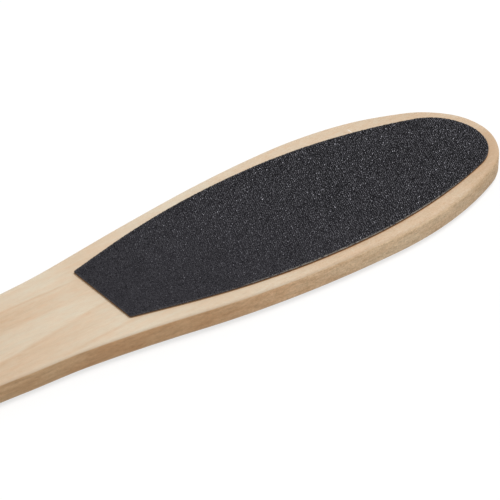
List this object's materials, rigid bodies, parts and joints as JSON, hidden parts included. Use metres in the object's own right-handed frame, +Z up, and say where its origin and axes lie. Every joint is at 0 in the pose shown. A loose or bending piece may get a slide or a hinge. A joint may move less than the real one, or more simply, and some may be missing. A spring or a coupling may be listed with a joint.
{
  "type": "foot file",
  "caption": "Flat wooden foot file with an egg-shaped head, a waisted handle and a dark abrasive sheet stuck to each side of the head.",
  "frame": {"origin": "middle of the paddle's length and width, on the surface that the file lies on", "axes": "+X towards the tip of the head, +Y across the paddle, +Z up, out of the coarse sheet"},
  "size_m": [0.26, 0.052, 0.0073],
  "materials": {
    "wood": "sanded, unvarnished, matt",
    "backing": "matt abrasive backing paper",
    "glue": "dried glue film",
    "coarse_grit": "coarse mineral grains in dark resin, with small glints",
    "fine_grit": "fine mineral grains in dark resin"
  },
  "bodies": {
    "root": {"wood_paddle": "wood", "coarse_grit": "coarse_grit", "coarse_backing": "backing", "coarse_glue": "glue", "fine_glue": "glue", "fine_backing": "backing", "fine_grit": "fine_grit"}
  },
  "joints": []
}
